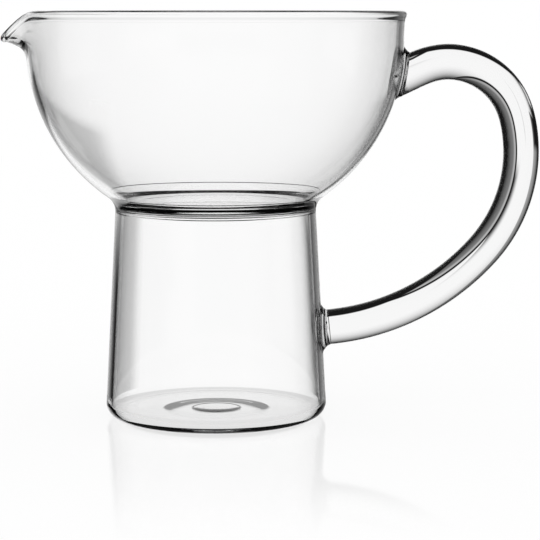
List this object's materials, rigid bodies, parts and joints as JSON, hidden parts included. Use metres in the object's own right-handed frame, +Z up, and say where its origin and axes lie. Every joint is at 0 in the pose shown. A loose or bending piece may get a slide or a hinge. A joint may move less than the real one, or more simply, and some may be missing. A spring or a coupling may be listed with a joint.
{
  "type": "cocktail pitcher",
  "caption": "Clear glass cocktail pitcher: round open bowl with a tooled pouring lip, fused onto a hollow tapered foot, with a thick ear-shaped rod handle from bowl to foot.",
  "frame": {"origin": "on the axis of the bowl and foot, at the plane of the table the foot stands on", "axes": "+Z up along the axis of the bowl and foot, +X towards the handle, -X towards the pouring lip"},
  "size_m": [0.2414, 0.1718, 0.183],
  "materials": {
    "clear_glass": "clear, fire polished"
  },
  "bodies": {
    "root": {"bowl": "clear_glass", "neck_seal": "clear_glass", "foot": "clear_glass", "vent_seal": "clear_glass", "handle": "clear_glass", "upper_handle_seal": "clear_glass", "lower_handle_seal": "clear_glass"}
  },
  "joints": []
}
